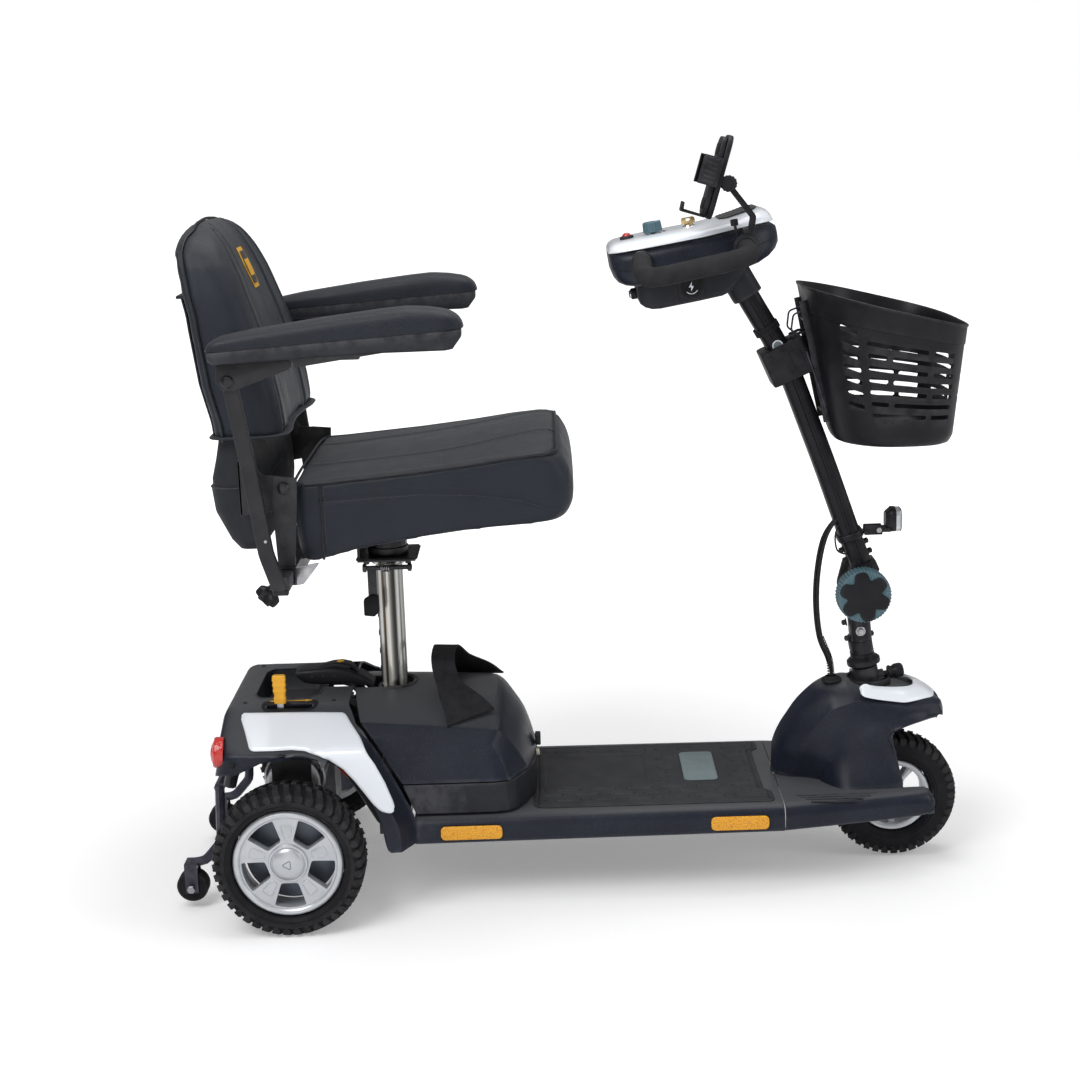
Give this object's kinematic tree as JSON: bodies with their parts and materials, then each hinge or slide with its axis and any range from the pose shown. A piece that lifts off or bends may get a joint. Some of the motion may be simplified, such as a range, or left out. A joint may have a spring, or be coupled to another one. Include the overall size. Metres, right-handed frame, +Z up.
{
  "type": "mobility scooter",
  "caption": "Three-wheeled travel mobility scooter with folding tiller, swivel seat with flip-up arms, lift-off battery pack, wire-hung front basket and phone holder.",
  "frame": {"origin": "centre of the footprint of the bounding box, on the ground", "axes": "+X forward, towards the front wheel; +Y to the rider's left; +Z up"},
  "size_m": [1.2368, 0.6268, 1.1516],
  "materials": {
    "speckled_paint": "satin charcoal with fine blue metallic speckle, moulded and painted",
    "textured_plastic": "matte grained black",
    "white_panel": "gloss white",
    "rubber": "matte black tyre rubber",
    "roller_rubber": "matte black rubber",
    "floor_rubber": "matte dark grey ribbed rubber",
    "silver_rim": "silver lacquer",
    "painted_steel": "semi-gloss black with a slight violet tone",
    "machined_metal": "bare machined and cast metal",
    "chrome_post": "bright chrome",
    "red_lens": "clear red reflector plastic",
    "yellow_grip": "matte yellow ribbed rubber",
    "battery_case": "matte grey battery cases",
    "strap": "matte black",
    "teal_knob": "matte teal grey",
    "foam_grip": "matte black foam",
    "black_plastic": "satin black",
    "key_brass": "polished",
    "red_button": "gloss red",
    "lamp_body": "gloss black with a clear lens",
    "upholstery": "blue-black leatherette with fine grain",
    "arm_pad": "grained self-skinned foam"
  },
  "bodies": {
    "chassis": {"front_frame": "painted_steel", "rear_frame": "painted_steel", "footboard_main": "speckled_paint", "footboard_front": "speckled_paint", "floor_mat": "floor_rubber", "front_shroud": "speckled_paint", "front_trim": "white_panel", "rear_shroud": "speckled_paint", "trim_panel_right": "white_panel", "trim_panel_left": "white_panel", "drive_motor": "machined_metal", "transaxle": "machined_metal", "anti_tip_bracket": "painted_steel", "tail_lamp_right": "red_lens", "tail_lamp_left": "red_lens"},
    "rear_wheel_right": {"rear_tyre_right": "rubber", "rear_rim_right": "silver_rim"},
    "rear_wheel_left": {"rear_tyre_left": "rubber", "rear_rim_left": "silver_rim"},
    "anti_tip_roller_right": {"anti_tip_wheel_right": "roller_rubber"},
    "anti_tip_roller_left": {"anti_tip_wheel_left": "roller_rubber"},
    "latch": {"latch_handle": "black_plastic"},
    "freewheel": {"freewheel_lever": "yellow_grip"},
    "battery_pack": {"battery_cover": "speckled_paint", "battery_tray": "textured_plastic", "battery_cells": "battery_case", "battery_strap": "strap"},
    "steering": {"steering_fork": "painted_steel"},
    "front_wheel": {"front_tyre": "rubber", "front_rim": "silver_rim"},
    "lock_pin": {"lock_plunger": "black_plastic"},
    "tiller": {"tiller_column": "painted_steel", "console_top": "white_panel", "console_body": "textured_plastic", "handlebar": "foam_grip", "basket_clamp": "black_plastic", "phone_arm": "black_plastic"},
    "tiller_lock": {"tiller_knob": "teal_knob"},
    "throttle": {"throttle_lever": "black_plastic"},
    "speed": {"speed_knob": "teal_knob"},
    "key": {"ignition_key": "key_brass"},
    "horn": {"horn_button": "red_button"},
    "charge_flap": {"charge_port_cover": "black_plastic"},
    "basket_body": {"basket": "black_plastic"},
    "lamp": {"headlight": "lamp_body"},
    "phone_mount": {"phone_cradle": "black_plastic"},
    "phone_clamp": {"phone_jaw": "black_plastic"},
    "phone_lock": {"phone_knob": "black_plastic"},
    "post": {"seat_post": "chrome_post"},
    "seat": {"swivel_bracket": "painted_steel", "seat_cushion": "upholstery"},
    "swivel_release": {"swivel_lever": "black_plastic"},
    "back": {"back_board": "upholstery", "back_cushion": "upholstery"},
    "arm_slide_right": {"arm_upright_right": "painted_steel"},
    "arm_slide_left": {"arm_upright_left": "painted_steel"},
    "armrest_right": {"arm_pad_right": "arm_pad"},
    "armrest_left": {"arm_pad_left": "arm_pad"},
    "arm_lock_right": {"arm_knob_right": "black_plastic"},
    "arm_lock_left": {"arm_knob_left": "black_plastic"}
  },
  "joints": [
    {"name": "rear_wheel_right_spin", "type": "hinge", "parent": "chassis", "child": "rear_wheel_right", "pos_m": [-0.4259, -0.2333, 0.1145], "axis": [0, 1, 0], "continuous": true},
    {"name": "rear_wheel_left_spin", "type": "hinge", "parent": "chassis", "child": "rear_wheel_left", "pos_m": [-0.4259, 0.2333, 0.1145], "axis": [0, 1, 0], "continuous": true},
    {"name": "steering_turn", "type": "hinge", "parent": "chassis", "child": "steering", "pos_m": [0.4746, 0, 0.305], "axis": [-0.1736, 0, 0.9848], "range_deg": [-45, 45]},
    {"name": "front_wheel_spin", "type": "hinge", "parent": "steering", "child": "front_wheel", "pos_m": [0.5169, 0, 0.1015], "axis": [0, 1, 0], "continuous": true},
    {"name": "tiller_fold", "type": "hinge", "parent": "steering", "child": "tiller", "pos_m": [0.4611, 0, 0.446], "axis": [0, 1, 0], "range_deg": [-2, 20]},
    {"name": "seat_height", "type": "slide", "parent": "chassis", "child": "post", "axis": [0, 0, 1], "range_m": [-0.02, 0.05]},
    {"name": "seat_swivel", "type": "hinge", "parent": "post", "child": "seat", "pos_m": [-0.2764, 0, 0.5205], "axis": [0, 0, 1], "continuous": true},
    {"name": "back_fold", "type": "hinge", "parent": "seat", "child": "back", "pos_m": [-0.4019, 0, 0.6758], "axis": [0, 1, 0], "range_deg": [0, 75]},
    {"name": "arm_width_right", "type": "slide", "parent": "seat", "child": "arm_slide_right", "axis": [0, -1, 0], "range_m": [0, 0.05]},
    {"name": "arm_flip_right", "type": "hinge", "parent": "arm_slide_right", "child": "armrest_right", "pos_m": [-0.4594, -0.2824, 0.8416], "axis": [0, -1, 0], "range_deg": [0, 95]},
    {"name": "arm_width_left", "type": "slide", "parent": "seat", "child": "arm_slide_left", "axis": [0, 1, 0], "range_m": [0, 0.05]},
    {"name": "arm_flip_left", "type": "hinge", "parent": "arm_slide_left", "child": "armrest_left", "pos_m": [-0.4594, 0.2824, 0.8416], "axis": [0, -1, 0], "range_deg": [0, 95]},
    {"name": "battery_lift", "type": "slide", "parent": "chassis", "child": "battery_pack", "axis": [0, 0, 1], "range_m": [0, 0.08]},
    {"name": "freewheel_rock", "type": "hinge", "parent": "chassis", "child": "freewheel", "pos_m": [-0.4439, -0.115, 0.264], "axis": [0, 1, 0], "range_deg": [0, 20]},
    {"name": "latch_lift", "type": "hinge", "parent": "chassis", "child": "latch", "pos_m": [-0.4279, 0, 0.335], "axis": [0, -1, 0], "range_deg": [0, 35]},
    {"name": "swivel_lever_pull", "type": "hinge", "parent": "seat", "child": "swivel_release", "pos_m": [-0.2759, -0.0415, 0.51], "axis": [-1, 0, 0], "range_deg": [0, 20]},
    {"name": "basket_lift", "type": "slide", "parent": "tiller", "child": "basket_body", "axis": [0, 0, 1], "range_m": [0, 0.06]},
    {"name": "throttle_rock", "type": "hinge", "parent": "tiller", "child": "throttle", "pos_m": [0.19141, 0, 0.95639], "axis": [-0.1461, 0, 0.9893], "range_deg": [-12, 12]},
    {"name": "speed_turn", "type": "hinge", "parent": "tiller", "child": "speed", "pos_m": [0.14703, -0.03, 1.01049], "axis": [-0.1461, 0, 0.9893], "range_deg": [0, 270]},
    {"name": "key_turn", "type": "hinge", "parent": "tiller", "child": "key", "pos_m": [0.20184, -0.03, 1.00898], "axis": [-0.1461, 0, 0.9893], "range_deg": [0, 90]},
    {"name": "horn_press", "type": "slide", "parent": "tiller", "child": "horn", "axis": [0.1461, 0, -0.9893], "range_m": [0, 0.0025]},
    {"name": "charge_flap_open", "type": "hinge", "parent": "tiller", "child": "charge_flap", "pos_m": [0.20392, -0.0514, 0.91275], "axis": [1, 0, 0], "range_deg": [0, 100]},
    {"name": "headlight_tilt", "type": "hinge", "parent": "tiller", "child": "lamp", "pos_m": [0.4931, 0, 0.537], "axis": [0, 1, 0], "range_deg": [-20, 20]},
    {"name": "phone_tilt", "type": "hinge", "parent": "tiller", "child": "phone_mount", "pos_m": [0.2506, -0.113, 1.0815], "axis": [0, 1, 0], "range_deg": [-20, 25]},
    {"name": "phone_jaw_open", "type": "slide", "parent": "phone_mount", "child": "phone_clamp", "axis": [0, -1, 0], "range_m": [0, 0.02]},
    {"name": "tiller_knob_turn", "type": "hinge", "parent": "steering", "child": "tiller_lock", "pos_m": [0.4611, -0.05, 0.446], "axis": [0, 1, 0], "continuous": true},
    {"name": "lock_plunger_pull", "type": "slide", "parent": "chassis", "child": "lock_pin", "axis": [0.9848, 0, 0.1736], "range_m": [0, 0.008]},
    {"name": "anti_tip_spin_right", "type": "hinge", "parent": "chassis", "child": "anti_tip_roller_right", "pos_m": [-0.5939, -0.14, 0.036], "axis": [0, 1, 0], "continuous": true},
    {"name": "anti_tip_spin_left", "type": "hinge", "parent": "chassis", "child": "anti_tip_roller_left", "pos_m": [-0.5939, 0.14, 0.036], "axis": [0, 1, 0], "continuous": true},
    {"name": "arm_knob_turn_right", "type": "hinge", "parent": "seat", "child": "arm_lock_right", "pos_m": [-0.43218, -0.208, 0.51772], "axis": [-0.7071, 0, -0.7071], "continuous": true},
    {"name": "arm_knob_turn_left", "type": "hinge", "parent": "seat", "child": "arm_lock_left", "pos_m": [-0.43218, 0.208, 0.51772], "axis": [-0.7071, 0, -0.7071], "continuous": true},
    {"name": "phone_knob_turn", "type": "hinge", "parent": "tiller", "child": "phone_lock", "pos_m": [0.2506, -0.113, 1.0815], "axis": [0, 1, 0], "continuous": true}
  ]
}
